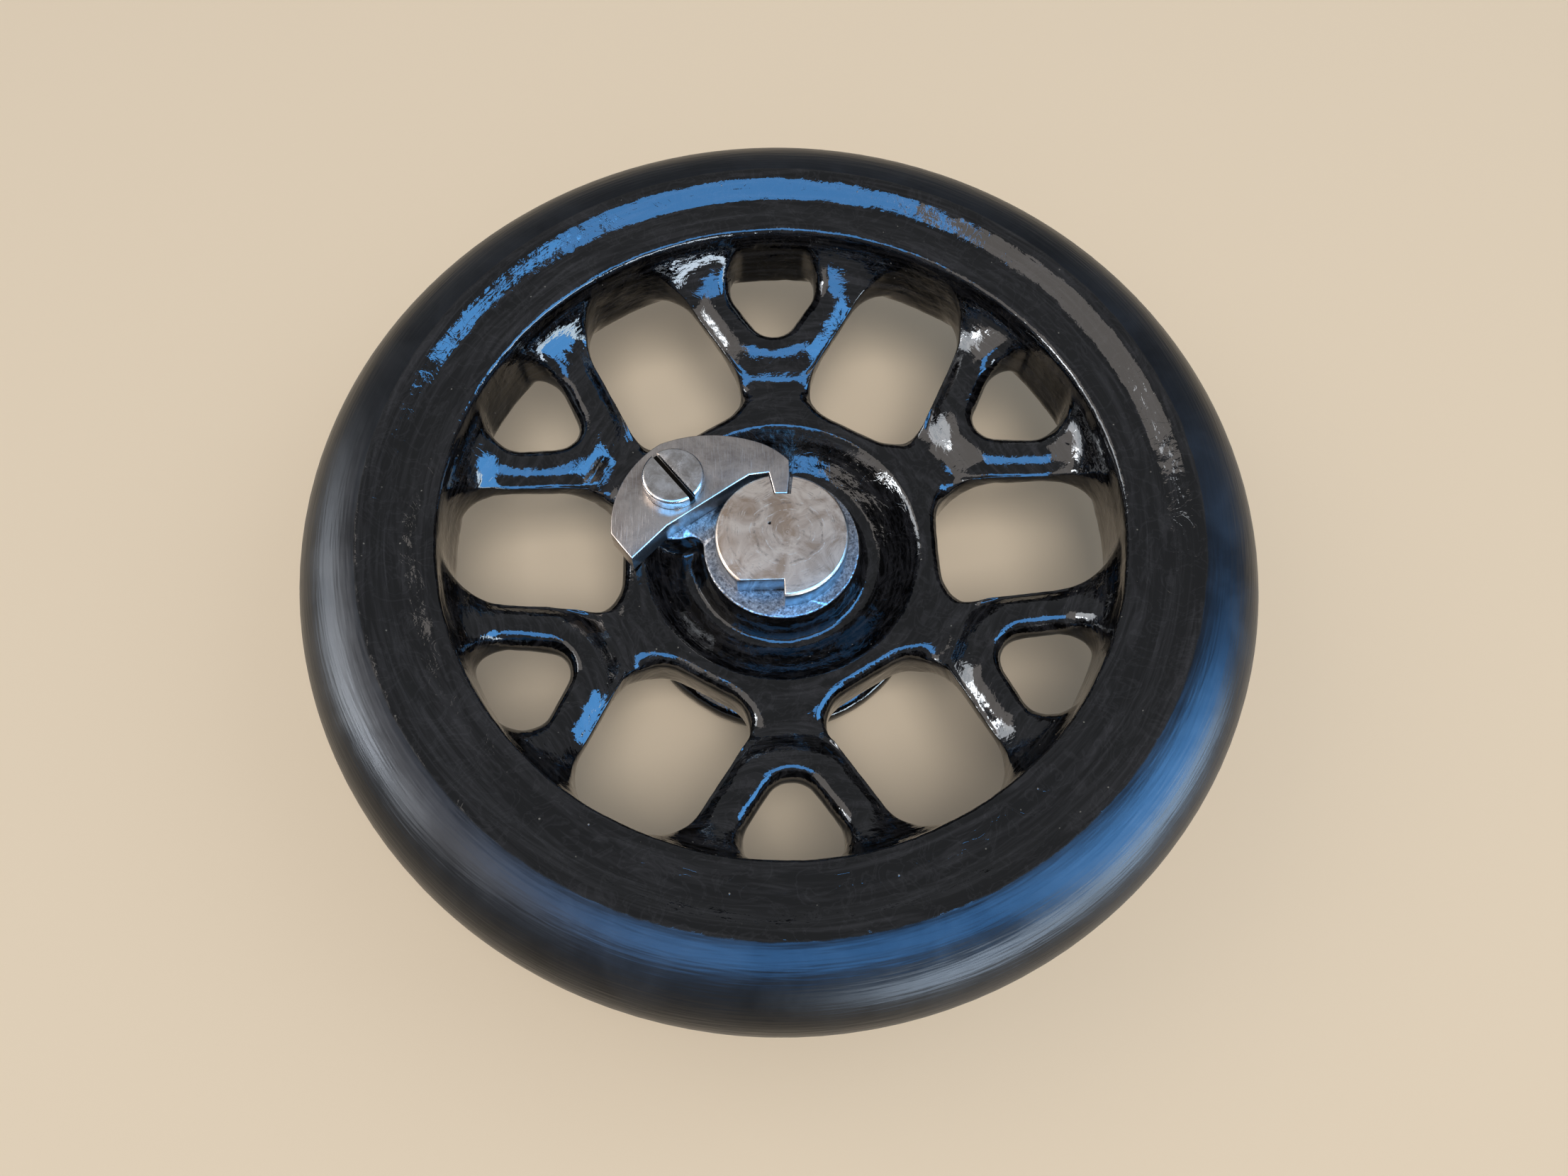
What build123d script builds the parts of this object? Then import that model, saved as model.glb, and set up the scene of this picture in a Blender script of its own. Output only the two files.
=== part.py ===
"""Balance handwheel with a loose-wheel clutch, off its shaft and front face up.

Millimetres. Z is the wheel's axis and points out of the front. Z = 0 is the plane of the hub's rear
end, which the wheel stands on. One forked spoke points along +Y.
"""
import os
from math import atan2, hypot, sin

from build123d import *

# ---- the wheel as a whole ----
RIM_R = 75.0            # outside radius of the rim
SPOKES = 6
STEP = 360.0 / SPOKES
SPOKE_ZERO = 90.0       # direction of the first spoke

# ---- heights up the axis ----
FACE_Z = 24.1           # machined ring face and latch pad
HUB_TOP_Z = 23.6        # cast flat round the hub, just under the machined faces
HUB_UNDER_Z = 14.4      # underside of the hub, in front of the belt groove
ARM_TOP_Z = 27.9        # top of the forked arms
ARM_UNDER_Z = 24.8      # their underside, at the rim

# ---- rim section ----
TUBE_R = 11.9           # round outer part of the rim
CREST_Z = 40.35
RIDGE_R = 52.6          # inner wall of the rim, up to the ridge
RIDGE_Z = 37.7
DISH_R = 58.8           # the flat inside the ridge ends here and the slope to the crest starts
CREST_R = 62.3
RIM_BACK_Z = 17.4
RIM_FOOT_Z = 23.2       # lower edge of the rim's inner wall

# ---- spoke web and its windows ----
STEM_END_R = 30.0       # the stems are level with the hub out to here
RISE_END_R = 34.0       # and have risen to the arms here
WEB_R = 23.8            # the plate the spokes are cut from starts here
WINDOW_R = 52.8         # outer edge of every window, just inside the rim's wall
WINDOW_IN = 26.2        # straight edge of a large window beside the hub
WINDOW_HALF = 11.1
WINDOW_HALF_OUT = 9.6   # narrower where the arms run out into the rim
WINDOW_CORNER_R = 6.2
WINDOW_CORNER_OUT_R = 8.0
FORK_TIP = 36.3         # where the two sides of a fork window would meet
FORK_TIP_R = 4.0
FORK_SHOULDER = 47.0
FORK_SHOULDER_R = 5.0
FORK_HALF = 7.4
FORK_CORNER_R = 3.6
WINDOW_EDGE_R = 2.3     # rounding of the cast edges
FORK_EDGE_R = 3.4
BACK_EDGE_R = 0.8

# ---- hub and belt pulley ----
RING_R = 12.8           # machined ring face round the bush
GROOVE_R = 22.9         # outer wall of the groove in the hub's front
GROOVE_FLOOR_Z = 16.9   # where its sloping floor meets the ring
FLANGE_R = 25.3         # rear flange of the belt pulley
FLANGE_Z = 0.7
FLANGE_T = 3.9
BELT_ROOT_R = 19.6
HUB_END_R = 14.5        # rear end of the hub

# ---- bush ----
HEAD_R = 10.8
HEAD_T = 4.4
TOOTH_Y = 7.2           # end of the latch's tooth in the head's top notch
JOURNAL_R = 7.5
RUN_GAP = 0.04          # running clearance on a radius
SHAFT_R = 5.5           # hole for the machine's shaft
SHAFT_DEPTH = 18.0
BUSH_END_Z = 0.3        # the bush stops just short of the hub's end
FLAT_Y = -7.9           # bottom notch: a flat to the left of its radial wall
RADIAL_X = 0.1

# ---- latch and its screw ----
PIVOT = (-17.3, 9.8)
PAD_R = 8.3             # machined pad round the pivot
FACE_GAP = 0.05         # between faces that slide on each other
LATCH_T = HEAD_T
SCREW_HEAD_R = 5.05
SCREW_HEAD_H = 2.4
SHOULDER_R = 3.2
THREAD_R = 2.4
THREAD_L = 8.0
SLOT_W = 1.1
SLOT_D = 1.3
SLOT_ANGLE = -52.0


def profile(corners, plane=Plane.XZ):
    """Closed outline from (x, y, corner radius) rows."""
    points = [(x, y) for x, y, _ in corners]
    radii = [radius for _, _, radius in corners]
    return plane * make_face(FilletPolyline(*points, radius=radii, close=True))


def turning(corners):
    """Solid of revolution from (radius, height, corner radius) rows."""
    return revolve(profile(corners), Axis.Z)


def all_round(shape, offset):
    """Six copies round the axis, the first one offset degrees from the first spoke."""
    return [Rot(0, 0, SPOKE_ZERO + offset + STEP * n) * shape for n in range(SPOKES)]


# ---------------------------------------------------------------- wheel casting
def rim():
    """Fat round outer rim, the slope inside it, a flat annulus, and the ridge round the dish."""
    return turning([
        (RIDGE_R, RIM_FOOT_Z, 0.8),
        (RIDGE_R, RIDGE_Z, 0.9),
        (DISH_R, RIDGE_Z - 0.2, 2.5),
        (CREST_R, CREST_Z, 2.0),
        (RIM_R, CREST_Z, TUBE_R),
        (RIM_R, RIM_BACK_Z, 9.5),
        (DISH_R, RIM_BACK_Z, 2.0),
        (RIDGE_R + 2.6, RIM_FOOT_Z, 2.0),
    ])


def large_window():
    """Rounded four-sided opening between two spokes, on the X axis."""
    sides = Polyline(
        (WINDOW_IN, -WINDOW_HALF), (WINDOW_R, -WINDOW_HALF_OUT),
        (WINDOW_R, WINDOW_HALF_OUT), (WINDOW_IN, WINDOW_HALF), close=True)
    opening = make_face(sides) & Circle(WINDOW_R)
    opening = fillet(opening.vertices().sort_by(Axis.X)[:2], WINDOW_CORNER_R)
    return fillet(opening.vertices().sort_by(Axis.X)[-2:], WINDOW_CORNER_OUT_R)


def fork_window():
    """Rounded triangle between the two arms of a spoke, on the X axis with its tip towards the hub."""
    sides = Polyline(
        (FORK_TIP, 0), (FORK_SHOULDER, -FORK_HALF), (RIM_R, -FORK_HALF),
        (RIM_R, FORK_HALF), (FORK_SHOULDER, FORK_HALF), close=True)
    opening = make_face(sides) & Circle(WINDOW_R)
    opening = fillet(opening.vertices().sort_by(Axis.X)[:1], FORK_TIP_R)
    shoulders = [v for v in opening.vertices() if abs(v.X - FORK_SHOULDER) < 0.01]
    opening = fillet(shoulders, FORK_SHOULDER_R)
    return fillet(opening.vertices().sort_by(Axis.X)[-2:], FORK_CORNER_R)


def web():
    """Dished plate that the windows turn into six forked spokes with rounded edges."""
    plate = turning([
        (WEB_R, HUB_TOP_Z, 0),
        (STEM_END_R, HUB_TOP_Z, 3.0),
        (RISE_END_R, ARM_TOP_Z, 3.0),
        (RIDGE_R - 6.1, ARM_TOP_Z + 1.1, 7.0),
        (RIDGE_R - 1.3, ARM_TOP_Z + 4.1, 5.0),
        (RIDGE_R + 1.0, ARM_TOP_Z + 8.5, 0),
        (RIDGE_R + 4.0, ARM_TOP_Z + 8.5, 0),
        (RIDGE_R + 4.0, ARM_UNDER_Z + 0.6, 0),
        (RISE_END_R + 3.2, ARM_UNDER_Z - 2.2, 6.0),
        (STEM_END_R - 0.5, HUB_UNDER_Z, 3.0),
        (WEB_R, HUB_UNDER_Z, 0),
    ])
    plate -= all_round(extrude(large_window(), RIM_R), STEP / 2)
    plate -= all_round(extrude(fork_window(), RIM_R), 0)
    plate = soften(plate, WINDOW_EDGE_R, on_hub_side, (HUB_UNDER_Z + HUB_TOP_Z) / 2)
    return soften(plate, FORK_EDGE_R, on_fork_tip, (ARM_UNDER_Z + ARM_TOP_Z) / 2)


def on_hub_side(edge):
    """Whether an edge is the straight side of a large window beside the hub, above or below."""
    middle = edge.center()
    return edge.geom_type == GeomType.LINE and abs(hypot(middle.X, middle.Y) - WINDOW_IN) < 0.05


def on_fork_tip(edge):
    """Whether an edge is the rounded tip of a fork window, above or below."""
    middle = edge.center()
    half_angle = atan2(FORK_HALF, FORK_SHOULDER - FORK_TIP)
    apex = FORK_TIP + FORK_TIP_R / sin(half_angle) - FORK_TIP_R
    return edge.geom_type == GeomType.BSPLINE and abs(hypot(middle.X, middle.Y) - apex) < 0.05


def soften(plate, front_radius, chosen, middle):
    """Round the whole loop of each window, front and back, found by one edge that lies in it."""
    front = [e for e in plate.edges() if chosen(e) and e.center().Z > middle]
    plate = fillet(front, front_radius)
    back = [e for e in plate.edges() if chosen(e) and e.center().Z < middle]
    return fillet(back, BACK_EDGE_R)


def hub():
    """Groove in the front, boss inside it, and the grooved belt pulley behind."""
    return turning([
        (0, FACE_Z, 0),
        (RING_R, FACE_Z, 0.25),
        (RING_R + 1.4, GROOVE_FLOOR_Z, 2.0),
        (GROOVE_R - 3.5, GROOVE_FLOOR_Z + 3.1, 8.0),
        (GROOVE_R, HUB_TOP_Z, 0.8),
        (WEB_R + 0.1, HUB_TOP_Z, 0),
        (WEB_R + 0.1, HUB_UNDER_Z, 0),
        (BELT_ROOT_R, HUB_UNDER_Z - 2.4, 2.0),
        (BELT_ROOT_R, FLANGE_Z + FLANGE_T + 2.2, 2.0),
        (FLANGE_R, FLANGE_Z + FLANGE_T, 1.2),
        (FLANGE_R, FLANGE_Z, 1.6),
        (HUB_END_R, FLANGE_Z, 0),
        (HUB_END_R, 0, 0.4),
        (0, 0, 0),
    ])


def pad():
    """Machined face the latch swings on, run into the ring face round the bush."""
    outline = Circle(RING_R) + Pos(*PIVOT) * Circle(PAD_R)
    outline = fillet(outline.vertices(), 2.0)
    return Pos(0, 0, GROOVE_FLOOR_Z - 1) * extrude(outline, FACE_Z - GROOVE_FLOOR_Z + 1)


def wheel_casting():
    """Rim, forked spokes, hub and belt pulley in one piece, with its machined bores."""
    body = web() + rim() + hub() + pad()
    body -= Cylinder(JOURNAL_R + RUN_GAP, 4 * RIM_R)
    thread = Cylinder(THREAD_R, THREAD_L, align=(Align.CENTER, Align.CENTER, Align.MAX))
    return body - Pos(*PIVOT, FACE_Z) * thread


# ---------------------------------------------------------------- bush
def notch():
    """Tapered notch for the latch's tooth in the top of the head."""
    return make_face(Polyline(
        (-1.04, TOOTH_Y - 0.1), (1.7, TOOTH_Y - 0.1), (2.35, HEAD_R + 1), (-2.06, HEAD_R + 1),
        close=True))


def clutch_bush():
    """Headed bush the wheel runs on, threaded on the shaft from behind."""
    head = Circle(HEAD_R) - notch()
    head -= Pos(RADIAL_X, FLAT_Y) * Rectangle(HEAD_R, HEAD_R, align=(Align.MAX, Align.MAX))
    base = FACE_Z + FACE_GAP
    body = Pos(0, 0, base) * extrude(head, HEAD_T)
    rim_edges = [e for e in body.edges().filter_by(GeomType.CIRCLE) if e.center().Z > base + 1]
    body = chamfer(rim_edges, 0.4)
    up = (Align.CENTER, Align.CENTER, Align.MIN)
    body += Pos(0, 0, BUSH_END_Z) * Cylinder(JOURNAL_R, base - BUSH_END_Z, align=up)
    return body - Pos(0, 0, BUSH_END_Z) * Cylinder(SHAFT_R, SHAFT_DEPTH, align=up)


# ---------------------------------------------------------------- latch and screw
def latch():
    """Flat hook latch: curved back, pointed thumb, and a tapered tooth in the bush's notch."""
    outline = make_face([
        ThreePointArc((-27.35, 0.75), (-25.65, 10.05), (-19.55, 16.95)),
        ThreePointArc((-19.55, 16.95), (-13.25, 18.35), (-4.45, 17.25)),
        ThreePointArc((-4.45, 17.25), (-1.3, 15.85), (1.6, 13.35)),
        Polyline(
            (1.6, 13.35), (1.63, 10.5), (1.13, TOOTH_Y), (-0.96, TOOTH_Y), (-1.75, 11.1),
            (-4.95, 10.75), (-6.55, 9.75), (-18.4, 1.88), (-23.95, -3.71), (-27.35, 0.75)),
    ])
    outline -= Pos(*PIVOT) * Circle(SHOULDER_R + 0.05)
    body = Pos(0, 0, FACE_Z + FACE_GAP) * extrude(outline, LATCH_T)
    return chamfer(body.faces().sort_by(Axis.Z)[-1].outer_wire().edges(), 0.15)


def latch_screw():
    """Slotted cheese-head shoulder screw the latch swings on."""
    under_head = LATCH_T + 2 * FACE_GAP
    screw = turning([
        (0, under_head + SCREW_HEAD_H, 0),
        (SCREW_HEAD_R, under_head + SCREW_HEAD_H, 0.6),
        (SCREW_HEAD_R, under_head, 0.15),
        (SHOULDER_R, under_head, 0),
        (SHOULDER_R, 0, 0),
        (THREAD_R, 0, 0),
        (THREAD_R, -THREAD_L, 0.4),
        (0, -THREAD_L, 0),
    ])
    slot = Box(3 * SCREW_HEAD_R, SLOT_W, 2 * SLOT_D)
    screw -= Pos(0, 0, under_head + SCREW_HEAD_H) * Rot(0, 0, SLOT_ANGLE) * slot
    return Pos(*PIVOT, FACE_Z) * screw


os.makedirs("parts", exist_ok=True)
export_step(wheel_casting(), "parts/wheel_casting.step")
export_step(clutch_bush(), "parts/clutch_bush.step")
export_step(latch(), "parts/latch.step")
export_step(latch_screw(), "parts/latch_screw.step")
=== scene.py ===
from math import atan2, degrees, hypot, pi, radians, sin

import bmesh
import bpy
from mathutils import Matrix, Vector, kdtree, noise


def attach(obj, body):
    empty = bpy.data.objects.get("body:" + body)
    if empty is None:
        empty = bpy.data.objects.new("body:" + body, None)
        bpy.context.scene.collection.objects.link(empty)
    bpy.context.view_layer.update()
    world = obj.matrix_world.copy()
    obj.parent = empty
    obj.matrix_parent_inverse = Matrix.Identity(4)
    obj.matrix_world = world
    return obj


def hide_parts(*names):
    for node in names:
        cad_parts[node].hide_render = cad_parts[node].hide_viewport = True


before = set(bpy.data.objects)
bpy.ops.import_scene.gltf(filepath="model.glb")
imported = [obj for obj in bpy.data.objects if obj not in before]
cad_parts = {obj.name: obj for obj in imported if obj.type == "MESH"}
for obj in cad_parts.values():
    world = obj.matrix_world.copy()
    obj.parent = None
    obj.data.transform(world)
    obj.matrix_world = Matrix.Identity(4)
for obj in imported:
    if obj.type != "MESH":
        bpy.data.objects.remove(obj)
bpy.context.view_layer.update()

# ---------------------------------------------------------------------------------------------
# Wheel casting. One iron casting: fat rim, forked spokes, hub and belt pulley. Its cast skin is
# thick brushed black japan, its rim is turned and finished satin, and the ring and the latch's
# pad on the hub are machined bare.
MM = 0.001              # sizes are in millimetres, and meshes are in metres
RIM_R = 74.97           # the skin stays inside this radius
CREST_Z = 40.35         # and under this height
CREST_R = 63.6          # the turned rim starts on the crest, outside this radius
FACE_Z = 24.1           # the bare faces of the hub lie at this height,
FACE_R = 28.6           # inside this radius
BORE_R = 7.75           # bore that the bush runs in
BORE_CLEAR_R = 9.5      # and round it the iron is left alone out to this radius
WEB_Z = (20.0, 33.0)    # the arms lie between these heights,
ARMS = (27.5, 33.0, 49.5, 52.0)  # and between these radii, fully crowned between the middle two
WALL_LEAN = 0.25        # a window's wall leans no more than this
ARM_REACH = 7.0         # the crown begins this far from a large window
CROWN = 2.0             # and has fallen this much at the window's edge
UPPER_SIDE = 1.5        # how soon a slope counts in full as the upper side of an arm
HUB_LAND_Z = 23.6
STEM_DROP = 4.3         # the stems rise this much from the hub's land to the arms
STEM_RISE = 11.0        # over this much radius
FORK_STEP = 60.0        # degrees from fork to fork
FORK_TIP_R = 36.0       # a fork's small window starts at this radius,
FORK_TIP_HALF = 2.5     # this wide to each side,
FORK_SPREAD = 0.55      # and widens by this much for each millimetre outwards
SAND = 0.42             # fineness of the cast skin
SOFT_R = (15.0, 54.0)   # sand and paint soften what is cast between these radii,
SOFT_BELOW_FACE = 0.6   # from this far below the bare faces
SOFT_PASSES = 10
PLANED_NEAR = 0.3       # what lies this near the bare faces' height, and looks up at least
PLANED_UP = 0.8         # this squarely, is planed flat
LUMPS_CLEAR = 0.5       # the lumps keep this far from the crest and the bare faces
LUMP = 0.11             # height of the lumps in the cast skin
BROAD_LUMPS = 0.2       # fineness of the broad lumps,
SMALL_LUMPS = 0.6       # of the small ones,
SMALL_SHARE = 0.4       # and the small ones' height as a share of the broad ones'
CAST_FACES = 96000      # enough for a smooth skin


def own_copy(node_name, piece_name):
    """A separate copy of a CAD node's mesh with its triangles joined at their corners."""
    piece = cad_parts[node_name].copy()
    piece.data = piece.data.copy()
    piece.name = piece_name
    piece.parent = None
    bpy.context.scene.collection.objects.link(piece)
    shell = bmesh.new()
    shell.from_mesh(piece.data)
    bmesh.ops.remove_doubles(shell, verts=shell.verts, dist=0.002 * MM)
    shell.to_mesh(piece.data)
    shell.free()
    return piece


def settle(piece):
    """Turn a piece's modifiers into its mesh."""
    bpy.context.view_layer.update()
    result = piece.evaluated_get(bpy.context.evaluated_depsgraph_get())
    mesh = bpy.data.meshes.new_from_object(result)
    piece.modifiers.clear()
    piece.data = mesh


def beside_fork(place):
    """True beside the small window of a fork; the first fork lies half a step from X."""
    turn = degrees(atan2(place.y, place.x)) % FORK_STEP - FORK_STEP / 2
    beyond_tip = place.xy.length - FORK_TIP_R
    aside = abs(place.xy.length * sin(radians(turn)))
    return beyond_tip > 0.0 and aside < FORK_TIP_HALF + FORK_SPREAD * beyond_tip


def crown_arms(body):
    """Crown the arms: their upper side falls away to the large windows and down to the hub."""
    arms = [v for v in body.verts if WEB_Z[0] < v.co.z / MM < WEB_Z[1]
            and ARMS[0] < v.co.xy.length / MM < ARMS[3]]
    walls = [v.co.xy for v in arms
             if abs(v.normal.z) < WALL_LEAN and not beside_fork(v.co / MM)]
    tree = kdtree.KDTree(len(walls))
    for index, wall in enumerate(walls):
        tree.insert((*wall, 0), index)
    tree.balance()
    for vertex in arms:
        if vertex.normal.z <= 0.0:
            continue
        radius = vertex.co.xy.length / MM
        share = min(1.0, (radius - ARMS[0]) / (ARMS[1] - ARMS[0]),
                    (ARMS[3] - radius) / (ARMS[3] - ARMS[2]))
        aside = max(0.0, 1.0 - tree.find((*vertex.co.xy, 0))[2] / (ARM_REACH * MM))
        rise = min(1.0, (radius - ARMS[0]) / STEM_RISE)
        fall = STEM_DROP * (1.0 - rise * rise * (3.0 - 2.0 * rise))
        above = min(1.0, max(0.0, vertex.co.z / MM - HUB_LAND_Z) / STEM_DROP)
        upward = min(1.0, UPPER_SIDE * vertex.normal.z)
        vertex.co.z -= MM * upward * (CROWN * share * aside ** 2 + fall * above)


def soften(body):
    """Smooth what is cast, and leave the bare faces and the turned rim sharp."""
    for _ in range(SOFT_PASSES):
        cast = [v for v in body.verts if SOFT_R[0] < v.co.xy.length / MM < SOFT_R[1]
                and (v.co.z / MM < FACE_Z - SOFT_BELOW_FACE or v.co.xy.length / MM > FACE_R)]
        bmesh.ops.smooth_vert(body, verts=cast, factor=0.5, use_axis_x=True, use_axis_y=True,
                              use_axis_z=True)
    body.normal_update()


def bore_plane_and_lump(body):
    """Bore the hub, plane its bare faces flat, and give the cast skin its lumps."""
    for vertex in body.verts:
        place = vertex.co / MM
        radius = hypot(place.x, place.y)
        on_hub = radius < FACE_R
        if radius < BORE_CLEAR_R:
            if radius < BORE_R:
                vertex.co.xy *= BORE_R / radius
        elif on_hub and abs(place.z - FACE_Z) < PLANED_NEAR and vertex.normal.z > PLANED_UP:
            vertex.co.z = FACE_Z * MM
        elif radius < CREST_R - LUMPS_CLEAR and not (on_hub and place.z > FACE_Z - LUMPS_CLEAR):
            lump = (noise.noise(place * BROAD_LUMPS)
                    + SMALL_SHARE * noise.noise(place * SMALL_LUMPS))
            vertex.co += vertex.normal * (LUMP * lump * MM)


def cast_skin(piece):
    """Give the casting the rounded, slightly uneven skin of painted iron."""
    skin = piece.modifiers.new("skin", "REMESH")
    skin.mode = "VOXEL"
    skin.voxel_size = SAND * MM
    settle(piece)
    body = bmesh.new()
    body.from_mesh(piece.data)
    crown_arms(body)
    soften(body)
    bore_plane_and_lump(body)
    body.to_mesh(piece.data)
    body.free()
    thin = piece.modifiers.new("thin", "DECIMATE")
    thin.ratio = min(1.0, CAST_FACES / max(1, len(piece.data.polygons)))
    settle(piece)
    for vertex in piece.data.vertices:
        vertex.co.z = min(max(vertex.co.z, 0.0), CREST_Z * MM)
        vertex.co.xy *= min(1.0, RIM_R * MM / max(vertex.co.xy.length, MM))
    piece.data.polygons.foreach_set("use_smooth", [True] * len(piece.data.polygons))


def plug(tree, socket, value):
    """Link a socket to another node's output, or give it a value of its own."""
    if isinstance(value, bpy.types.NodeSocket):
        tree.links.new(value, socket)
    else:
        socket.default_value = value


def add(tree, kind, settings=None, **inputs):
    """A shader node. An input goes by its name, or by i and its number."""
    made = tree.nodes.new("ShaderNode" + kind)
    for key, value in (settings or {}).items():
        setattr(made, key, value)
    for key, value in inputs.items():
        name = int(key[1:]) if key[1:].isdigit() else key.replace("_", " ")
        plug(tree, made.inputs[name], value)
    return made


def calc(tree, operation, first, second=0.0):
    return add(tree, "Math", {"operation": operation}, i0=first, i1=second).outputs[0]


def vector(tree, operation, first, **others):
    return add(tree, "VectorMath", {"operation": operation}, i0=first, **others).outputs[0]


def distance(tree, first, second):
    return add(tree, "VectorMath", {"operation": "DISTANCE"}, i0=first, i1=second).outputs[1]


def heap(tree, *parts):
    """Sum of (height, pattern) parts; the heights of a relief are in millimetres."""
    total = 0.0
    for height, pattern in parts:
        total = calc(tree, "ADD", total, calc(tree, "MULTIPLY", pattern, height))
    return total


def ramp(tree, value, low, high, out_low=0.0, out_high=1.0):
    """Value from low to high, spread over out_low to out_high and held there beyond."""
    return add(tree, "MapRange", i0=value, i1=low, i2=high, i3=out_low, i4=out_high).outputs[0]


def grain(tree, place, scale, detail=3.0, rough=0.5, twist=0.0):
    """Fine noise, 0 to 1, with features about 1/scale millimetres across."""
    return add(tree, "TexNoise", Vector=place, Scale=scale, Detail=detail, Roughness=rough,
               Distortion=twist).outputs[0]


def blend_value(tree, mask, low, high):
    return add(tree, "Mix", {"data_type": "FLOAT"}, i0=mask, i2=low, i3=high).outputs[0]


def blend_colour(tree, mask, low, high):
    return add(tree, "Mix", {"data_type": "RGBA"}, i0=mask, i6=low, i7=high).outputs[2]


def fresh(name):
    """A new material with its shader, and the piece's own coordinates in millimetres."""
    material = bpy.data.materials.new(name)
    material.use_nodes = True
    tree = material.node_tree
    shader = tree.nodes["Principled BSDF"]
    place = add(tree, "TexCoord").outputs["Object"]
    place = vector(tree, "SCALE", place, Scale=1.0 / MM)
    return material, tree, shader, place


def dress(tree, shader, colour, rough, relief, metal=1.0):
    """Give a shader its colour, roughness and metal, and its relief in millimetres."""
    relief = add(tree, "Bump", Strength=1.0, Distance=MM, Height=relief).outputs[0]
    for name, value in (("Base Color", colour), ("Roughness", rough), ("Metallic", metal),
                        ("Normal", relief)):
        plug(tree, shader.inputs[name], value)


STROKE_ROUND = 6.0      # how fast strokes change along their length, round the wheel


def polar(tree, place, lean=1.3):
    """Radius, height, and a vector that runs round the wheel as a brush or a tool does."""
    axes = add(tree, "SeparateXYZ", Vector=place).outputs
    flat = add(tree, "CombineXYZ", X=axes[0], Y=axes[1]).outputs[0]
    radius = distance(tree, flat, (0, 0, 0))
    along = vector(tree, "SCALE", vector(tree, "NORMALIZE", flat), Scale=STROKE_ROUND)
    across = calc(tree, "ADD", radius, calc(tree, "MULTIPLY", axes[2], lean))
    across = add(tree, "CombineXYZ", Z=across).outputs[0]
    return radius, axes[2], vector(tree, "ADD", along, i1=across)


DEEP_JAPAN = (0.0010, 0.0010, 0.0013, 1)
# the haze's lighter grey follows the brush; its blue cast is a painted reflection of a bluish
# sky
HAZY_JAPAN_SKY_BLUE = (0.0240, 0.0245, 0.0290, 1)
DUST = (0.16, 0.16, 0.15, 1)
SATIN_RIM = (0.027, 0.028, 0.030, 1)
RUBBED_RIM = (0.044, 0.045, 0.047, 1)
PITTED_IRON = (0.06, 0.06, 0.07, 1)
BARE_IRON = (0.56, 0.55, 0.54, 1)
RIM_LEVEL = 0.08        # the rim's relief is raised this much, to meet the paint's


def casting_finish():
    """Gloss japan with brush runs, satin turned rim, and bare machined faces on the hub."""
    material, tree, shader, place = fresh("japanned_casting")
    radius, height, strokes = polar(tree, place)

    # where each finish lies
    edge = heap(tree, (1.0, radius), (0.5, grain(tree, place, 0.3)))
    rim = ramp(tree, edge, CREST_R + 0.05, CREST_R + 0.35)
    bare = calc(tree, "MULTIPLY", ramp(tree, height, FACE_Z - 0.12, FACE_Z - 0.04),
                ramp(tree, radius, FACE_R, FACE_R - 0.2))

    # brushed japan: soft runs, orange peel, brush strokes, wrinkles, and dust under the gloss
    runs = grain(tree, place, 0.26, detail=2.0, rough=0.45, twist=0.6)
    peel = grain(tree, place, 0.9, detail=2.0)
    fine = grain(tree, place, 3.0, detail=2.0, rough=0.6)
    brushed = grain(tree, strokes, 0.9, rough=0.6, twist=0.3)
    drawn = grain(tree, strokes, 0.35, detail=2.0, twist=0.4)
    grit = add(tree, "TexVoronoi", Vector=place, Scale=0.36, Randomness=1.0).outputs["Distance"]
    speck = ramp(tree, grit, 0.06, 0.02)
    wave = calc(tree, "SUBTRACT", grain(tree, place, 0.22, rough=0.55, twist=1.6), 0.5)
    wrinkle = ramp(tree, calc(tree, "ABSOLUTE", wave), 0.035, 0.0)
    japan = heap(tree, (0.11, runs), (0.045, peel), (0.006, fine), (0.02, brushed),
                 (0.06, drawn), (0.02, speck), (0.005, wrinkle))
    ripple = grain(tree, strokes, 0.5, detail=4.0, rough=0.65, twist=1.3)
    haze = heap(tree, (0.75, ramp(tree, ripple, 0.45, 0.72)), (0.3, wrinkle))
    # hazy brush ripples, with a blue cast that is painted sky reflection
    black = blend_colour(tree, haze, DEEP_JAPAN, HAZY_JAPAN_SKY_BLUE)
    black = blend_colour(tree, speck, black, DUST)
    gloss = ramp(tree, brushed, 0.4, 0.8, 0.03, 0.10)

    # turned rim: fine rings left by the tool, and patches where hands have rubbed it
    turned = polar(tree, place, -1.0)[2]
    rings = grain(tree, turned, 1.5, detail=1.0)
    broad = grain(tree, turned, 0.4, detail=2.0)
    rubbed = grain(tree, place, 0.07, detail=4.0, rough=0.6, twist=0.5)
    turning = heap(tree, (0.05, rings), (0.03, broad), (RIM_LEVEL, 1.0))
    satin = blend_colour(tree, ramp(tree, rubbed, 0.35, 0.7), SATIN_RIM, RUBBED_RIM)

    # machined faces: turned rings broken up by fine pits
    marks = grain(tree, strokes, 1.9, rough=0.8)
    pits = grain(tree, place, 2.6, rough=0.7)
    dull = calc(tree, "MULTIPLY", marks, pits)
    worn = blend_colour(tree, ramp(tree, dull, 0.12, 0.38), PITTED_IRON, BARE_IRON)

    colour = blend_colour(tree, bare, blend_colour(tree, rim, black, satin), worn)
    rough = blend_value(tree, rim, gloss, ramp(tree, rubbed, 0.3, 0.7, 0.33, 0.42))
    rough = blend_value(tree, bare, rough, 0.36)
    relief = blend_value(tree, rim, japan, turning)
    relief = blend_value(tree, bare, relief, heap(tree, (0.03, marks), (0.03, pits)))
    dress(tree, shader, colour, rough, relief, metal=calc(tree, "MAXIMUM", rim, bare))
    return material


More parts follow.
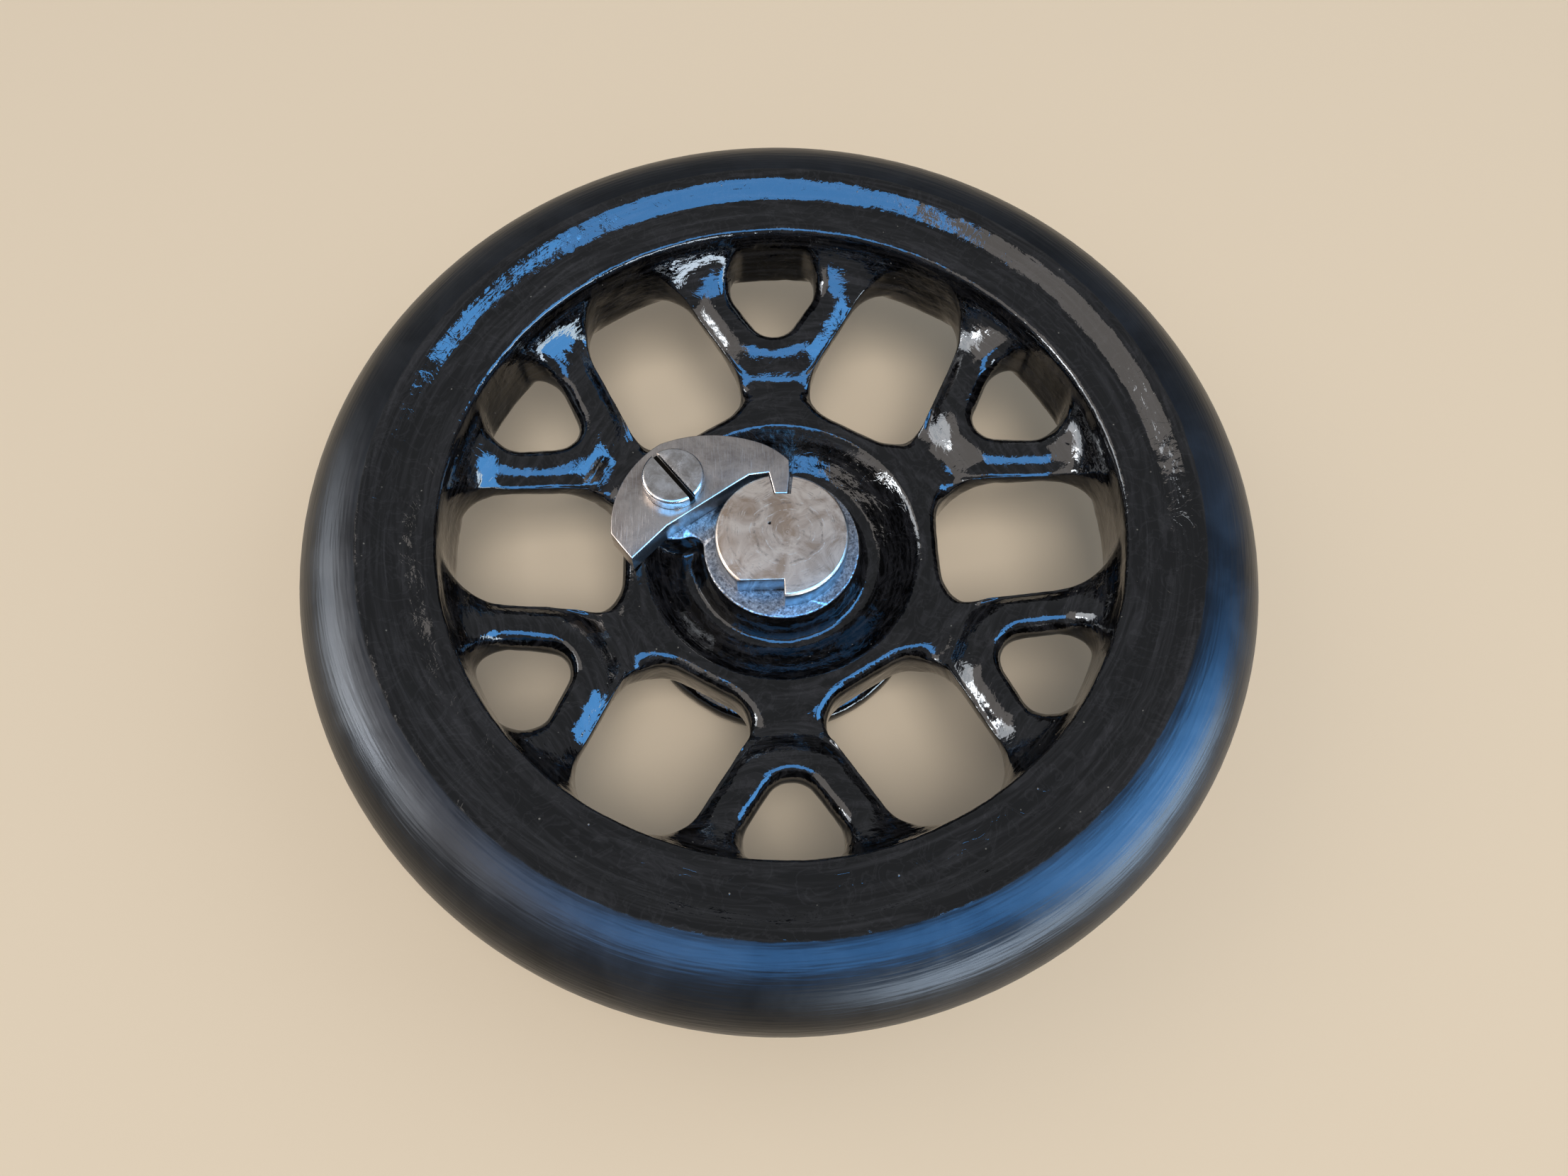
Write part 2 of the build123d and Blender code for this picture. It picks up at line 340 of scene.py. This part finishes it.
casting = own_copy("wheel_casting", "casting")
cast_skin(casting)
casting.data.materials.clear()
casting.data.materials.append(casting_finish())
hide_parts("wheel_casting")
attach(casting, "wheel")

# ---------------------------------------------------------------------------------------------
# Clutch bush. Turned steel that runs in the hub, with a notch for the latch's tooth and a step
# below. Its face is worn brown-grey, with the rings of the lathe tool and a pit, and its edges
# are rubbed bright.
BUSH_EDGE = 0.08        # width of its round edges
BUSH_FACE_Z = (28.15, 28.35)  # the bare steel side, painted darker as shade, turns into the stained face between these heights
TURNED_ABOUT = (0.9, 0.3)     # middle of the rings that the tool left
PIT_AT = (-1.9, 1.9)
PIT_R = (0.38, 0.28)    # the pit deepens between these radii
PIT_DEPTH = 0.25
STAINED_STEEL = (0.50, 0.35, 0.24, 1)
CLEAN_STEEL = (0.95, 0.81, 0.68, 1)
DARK_RING = (0.27, 0.21, 0.17, 1)
BRIGHT_RING = (1.0, 0.94, 0.86, 1)
BUSH_GRIME = (0.26, 0.23, 0.20, 1)
SHADED_SIDE_DARK = (0.14, 0.13, 0.13, 1)
SHADED_SIDE_LIGHT = (0.46, 0.44, 0.42, 1)
PIT_RUST = (0.02, 0.015, 0.012, 1)
FLAT_ANGLE = radians(1)       # faces that meet at less than this are one face
CORNER_ANGLE = radians(30)    # edges sharper than this wear round
SHADING_ANGLE = radians(35)   # and edges sharper than this still look sharp


def rubbed_edges(piece, width):
    """Give a machined piece narrow round edges, as handling does, so that they catch light."""
    shell = bmesh.new()
    shell.from_mesh(piece.data)
    bmesh.ops.dissolve_limit(shell, angle_limit=FLAT_ANGLE, verts=shell.verts,
                             edges=shell.edges)
    sharp = [e for e in shell.edges if e.is_manifold and e.calc_face_angle(0) > CORNER_ANGLE]
    bmesh.ops.bevel(shell, geom=sharp, offset=width * MM, offset_type="OFFSET", segments=2,
                    profile=0.5, affect="EDGES", clamp_overlap=True, material=-1)
    bmesh.ops.triangulate(shell, faces=[f for f in shell.faces if len(f.verts) > 4])
    shell.to_mesh(piece.data)
    shell.free()
    piece.data.polygons.foreach_set("use_smooth", [True] * len(piece.data.polygons))
    piece.data.set_sharp_from_angle(angle=SHADING_ANGLE)


def bush_finish():
    """Lathe rings that wander and break off, stained brown on the face, and a pit."""
    material, tree, shader, place = fresh("turned_steel")
    height = add(tree, "SeparateXYZ", Vector=place).outputs[2]
    flat = vector(tree, "MULTIPLY", place, i1=(1, 1, 0))
    radius = distance(tree, flat, (*TURNED_ABOUT, 0))
    wander = heap(tree, (3.0, grain(tree, place, 0.13, detail=2.0)),
                  (0.3, grain(tree, place, 1.2, detail=2.0)))
    rings = add(tree, "CombineXYZ", X=calc(tree, "ADD", radius, wander)).outputs[0]
    rings = grain(tree, rings, 1.5, rough=0.7)
    broken = ramp(tree, grain(tree, place, 0.7, detail=4.0, rough=0.7), 0.42, 0.60)
    rings = blend_value(tree, broken, 0.5, rings)
    stain = grain(tree, place, 0.17, detail=4.0, rough=0.65, twist=1.0)
    grime = grain(tree, place, 0.9, detail=4.0, rough=0.7)
    from_pit = heap(tree, (1.0, distance(tree, flat, (*PIT_AT, 0))), (0.2, grime))
    pit = ramp(tree, from_pit, *PIT_R)

    face = blend_colour(tree, ramp(tree, stain, 0.38, 0.62), STAINED_STEEL, CLEAN_STEEL)
    face = blend_colour(tree, ramp(tree, rings, 0.48, 0.36), face, DARK_RING)
    face = blend_colour(tree, ramp(tree, rings, 0.53, 0.66), face, BRIGHT_RING)
    face = blend_colour(tree, ramp(tree, grime, 0.62, 0.8, 0.0, 0.7), face, BUSH_GRIME)
    # the side is painted darker than the face, as shade, over the lathe's rings
    shaded_side = blend_colour(tree, ramp(tree, rings, 0.40, 0.60), SHADED_SIDE_DARK, SHADED_SIDE_LIGHT)
    colour = blend_colour(tree, ramp(tree, height, *BUSH_FACE_Z), shaded_side, face)
    colour = blend_colour(tree, pit, colour, PIT_RUST)
    dress(tree, shader, colour, ramp(tree, stain, 0.3, 0.7, 0.40, 0.27),
          heap(tree, (0.009, rings), (0.006, grime), (-PIT_DEPTH, pit)))
    return material


def machined(node_name, piece_name, width, body, material):
    """Stand a copy with rubbed edges and a finish in for a machined CAD node."""
    piece = own_copy(node_name, piece_name)
    rubbed_edges(piece, width)
    piece.data.materials.clear()
    piece.data.materials.append(material)
    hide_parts(node_name)
    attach(piece, body)


machined("clutch_bush", "bush", BUSH_EDGE, "bush", bush_finish())

# ---------------------------------------------------------------------------------------------
# Latch. A flat hook of steel plate that swings on the screw, filed to shape and rubbed with
# emery, so fine scratches run every way over its face; its sides show the file's strokes.
LATCH_EDGE = 0.10
SCRATCHES = ((0.5, 6.0), (1.3, 9.0), (1.9, 7.0), (2.7, 8.0))  # turn in radians, and fineness
SCRATCH_DRAW = 0.35     # fineness along a scratch
SCRATCH_DEPTH = 0.006
DULL_PLATE = (0.29, 0.24, 0.205, 1)
CLEAN_PLATE = (0.65, 0.57, 0.505, 1)
PLATE_GRIME = (0.22, 0.20, 0.19, 1)
SCRATCHED_PLATE = (0.72, 0.70, 0.68, 1)


def latch_finish():
    """Cloudy filed steel under fine scratches."""
    material, tree, shader, place = fresh("filed_steel")
    scratches = 0.0
    for turn, fineness in SCRATCHES:
        laid = add(tree, "Mapping", Vector=place, Rotation=(0, 0, turn),
                   Scale=(fineness, SCRATCH_DRAW, 1.0)).outputs[0]
        thin = ramp(tree, grain(tree, laid, 0.7, detail=2.0, rough=0.6), 0.60, 0.72)
        scratches = calc(tree, "MAXIMUM", scratches, thin)
    tone = grain(tree, place, 0.14, detail=6.0, rough=0.72, twist=0.5)
    fine = grain(tree, place, 2.6, rough=0.75)
    colour = blend_colour(tree, ramp(tree, tone, 0.32, 0.68), DULL_PLATE, CLEAN_PLATE)
    colour = blend_colour(tree, ramp(tree, fine, 0.58, 0.72, 0.0, 0.5), colour, PLATE_GRIME)
    colour = blend_colour(tree, calc(tree, "MULTIPLY", scratches, 0.45), colour,
                          SCRATCHED_PLATE)
    dress(tree, shader, colour, ramp(tree, tone, 0.3, 0.7, 0.36, 0.26),
          heap(tree, (0.012, fine), (-SCRATCH_DEPTH, scratches)))
    return material


machined("latch", "hook_latch", LATCH_EDGE, "latch", latch_finish())

# ---------------------------------------------------------------------------------------------
# Latch screw. A cheese-head shoulder screw, turned, that holds the latch to the hub's pad. Its
# slot is worn, and painted dark inside as shade, and its flank is polished.
SCREW_EDGE = 0.12
SCREW_AT = (-17.3, 9.8)
SLOT_ANGLE = -52.0      # degrees from X
SLOT_HALF = (0.56, 0.50)      # the painted shade starts between these distances from the slot's middle and deepens from the first of these heights down to the second
SLOT_SHADE_Z = (30.75, 30.4)  # and thickens from the first of these heights down to the second
TARNISHED_SCREW = (0.34, 0.31, 0.285, 1)
CLEAN_SCREW = (0.70, 0.66, 0.625, 1)
SCREW_GRIME = (0.20, 0.18, 0.17, 1)
SLOT_SHADE = (0.012, 0.010, 0.008, 1)


def screw_finish():
    """Tarnished turned steel, with painted shade in the slot."""
    material, tree, shader, place = fresh("screw_steel")
    tone = grain(tree, place, 0.45, detail=4.0, rough=0.65, twist=0.5)
    fine = grain(tree, place, 3.5, rough=0.7)
    height = add(tree, "SeparateXYZ", Vector=place).outputs[2]
    across = add(tree, "VectorRotate", {"rotation_type": "Z_AXIS"}, Vector=place,
                 Center=(*SCREW_AT, 0), Angle=radians(-SLOT_ANGLE)).outputs[0]
    across = add(tree, "SeparateXYZ", Vector=across).outputs[1]
    across = calc(tree, "ABSOLUTE", calc(tree, "SUBTRACT", across, SCREW_AT[1]))
    # the slot's floor and walls are painted dark, as shade
    slot_shade = calc(tree, "MULTIPLY", ramp(tree, height, *SLOT_SHADE_Z),
                ramp(tree, across, *SLOT_HALF))
    colour = blend_colour(tree, ramp(tree, tone, 0.3, 0.7), TARNISHED_SCREW, CLEAN_SCREW)
    colour = blend_colour(tree, ramp(tree, fine, 0.6, 0.75, 0.0, 0.5), colour, SCREW_GRIME)
    colour = blend_colour(tree, slot_shade, colour, SLOT_SHADE)
    dress(tree, shader, colour, ramp(tree, tone, 0.3, 0.7, 0.20, 0.32),
          heap(tree, (0.012, fine)))
    return material


machined("latch_screw", "screw", SCREW_EDGE, "wheel", screw_finish())

# ---------------------------------------------------------------------------------------------
# Studio. A plain pale floor, soft lamps, and the camera close above the front edge. The cards
# are large panels that are seen only in gloss. Places and sizes here are in metres.
FLOOR_HALF = 3.0
FLOOR_COLOUR = (0.72, 0.62, 0.49, 1)
SKY_COLOUR = (0.90, 0.94, 1.0, 1)
SKY_STRENGTH = 0.42
LAMPS_AIM = (0, 0, 0.03)
CAMERA_AT = (-0.005388, -0.076018, 0.1920)
CAMERA_TURN = (22.206, -1.027, -2.091)  # degrees about X, Y and Z
FOCAL_LENGTH = 25.83    # in millimetres, as is the sensor's width
SENSOR_WIDTH = 36.0


def floor():
    plate = bmesh.new()
    bmesh.ops.create_grid(plate, x_segments=1, y_segments=1, size=FLOOR_HALF)
    mesh = bpy.data.meshes.new("floor")
    plate.to_mesh(mesh)
    plate.free()
    piece = bpy.data.objects.new("floor", mesh)
    bpy.context.scene.collection.objects.link(piece)
    material, _, shader, _ = fresh("pale_floor")
    shader.inputs["Base Color"].default_value = FLOOR_COLOUR
    shader.inputs["Roughness"].default_value = 0.8
    shader.inputs["Specular IOR Level"].default_value = 0.0
    mesh.materials.append(material)


def lamp(name, place, size, brightness, colour, card=False):
    """A soft rectangular lamp that faces the wheel, or a card that only gloss shows."""
    light = bpy.data.lights.new(name, "AREA")
    light.shape = "RECTANGLE"
    light.size, light.size_y = size
    light.energy = brightness * pi * size[0] * size[1]
    light.color = colour
    piece = bpy.data.objects.new(name, light)
    piece.location = place
    aim = Vector(LAMPS_AIM) - piece.location
    piece.rotation_euler = aim.to_track_quat("-Z", "Y").to_euler()
    piece.visible_diffuse = not card
    piece.visible_glossy = card
    bpy.context.scene.collection.objects.link(piece)


def sky():
    world = bpy.data.worlds.new("studio")
    bpy.context.scene.world = world
    world.use_nodes = True
    ground = world.node_tree.nodes["Background"]
    ground.inputs["Color"].default_value = SKY_COLOUR
    ground.inputs["Strength"].default_value = SKY_STRENGTH


def camera():
    lens = bpy.data.cameras.new("camera")
    lens.lens = FOCAL_LENGTH
    lens.sensor_width = SENSOR_WIDTH
    lens.clip_start = 0.01
    piece = bpy.data.objects.new("camera", lens)
    piece.location = CAMERA_AT
    piece.rotation_euler = [radians(turn) for turn in CAMERA_TURN]
    bpy.context.scene.collection.objects.link(piece)
    bpy.context.scene.camera = piece


floor()
# name, place, size, brightness and colour
lamp("key_top", (0.10, -0.50, 1.50), (0.80, 0.80), 7.6, (1.0, 0.94, 0.86))
lamp("key_left", (-1.10, 0.30, 1.10), (1.0, 1.0), 0.8, (1.0, 0.86, 0.68))
lamp("key_right", (1.10, 0.20, 1.10), (1.0, 1.0), 0.7, (0.84, 0.95, 1.0))
lamp("blue_card", (0.04, -0.235, 0.50), (0.54, 0.25), 9.5, (0.10, 0.42, 1.0), card=True)
lamp("blue_side_card", (0.60, -0.20, 0.44), (0.48, 0.46), 12.5, (0.10, 0.43, 1.0), card=True)
lamp("low_card", (1.33, -0.62, 0.24), (0.95, 0.36), 15.0, (0.66, 0.84, 1.0), card=True)
lamp("front_card", (0.70, -1.30, 0.28), (0.80, 0.40), 18.0, (0.72, 0.86, 1.0), card=True)
lamp("white_card", (-0.73, 0.10, 0.33), (0.50, 0.30), 7.0, (0.88, 0.94, 1.0), card=True)
lamp("window_card", (-0.74, -0.10, 0.36), (0.16, 0.12), 32.0, (0.90, 0.95, 1.0), card=True)
lamp("grey_card", (-0.44, -0.06, 0.44), (0.62, 0.46), 1.9, (1.0, 0.91, 0.84), card=True)
sky()
camera()
bpy.context.scene.view_settings.view_transform = "Standard"
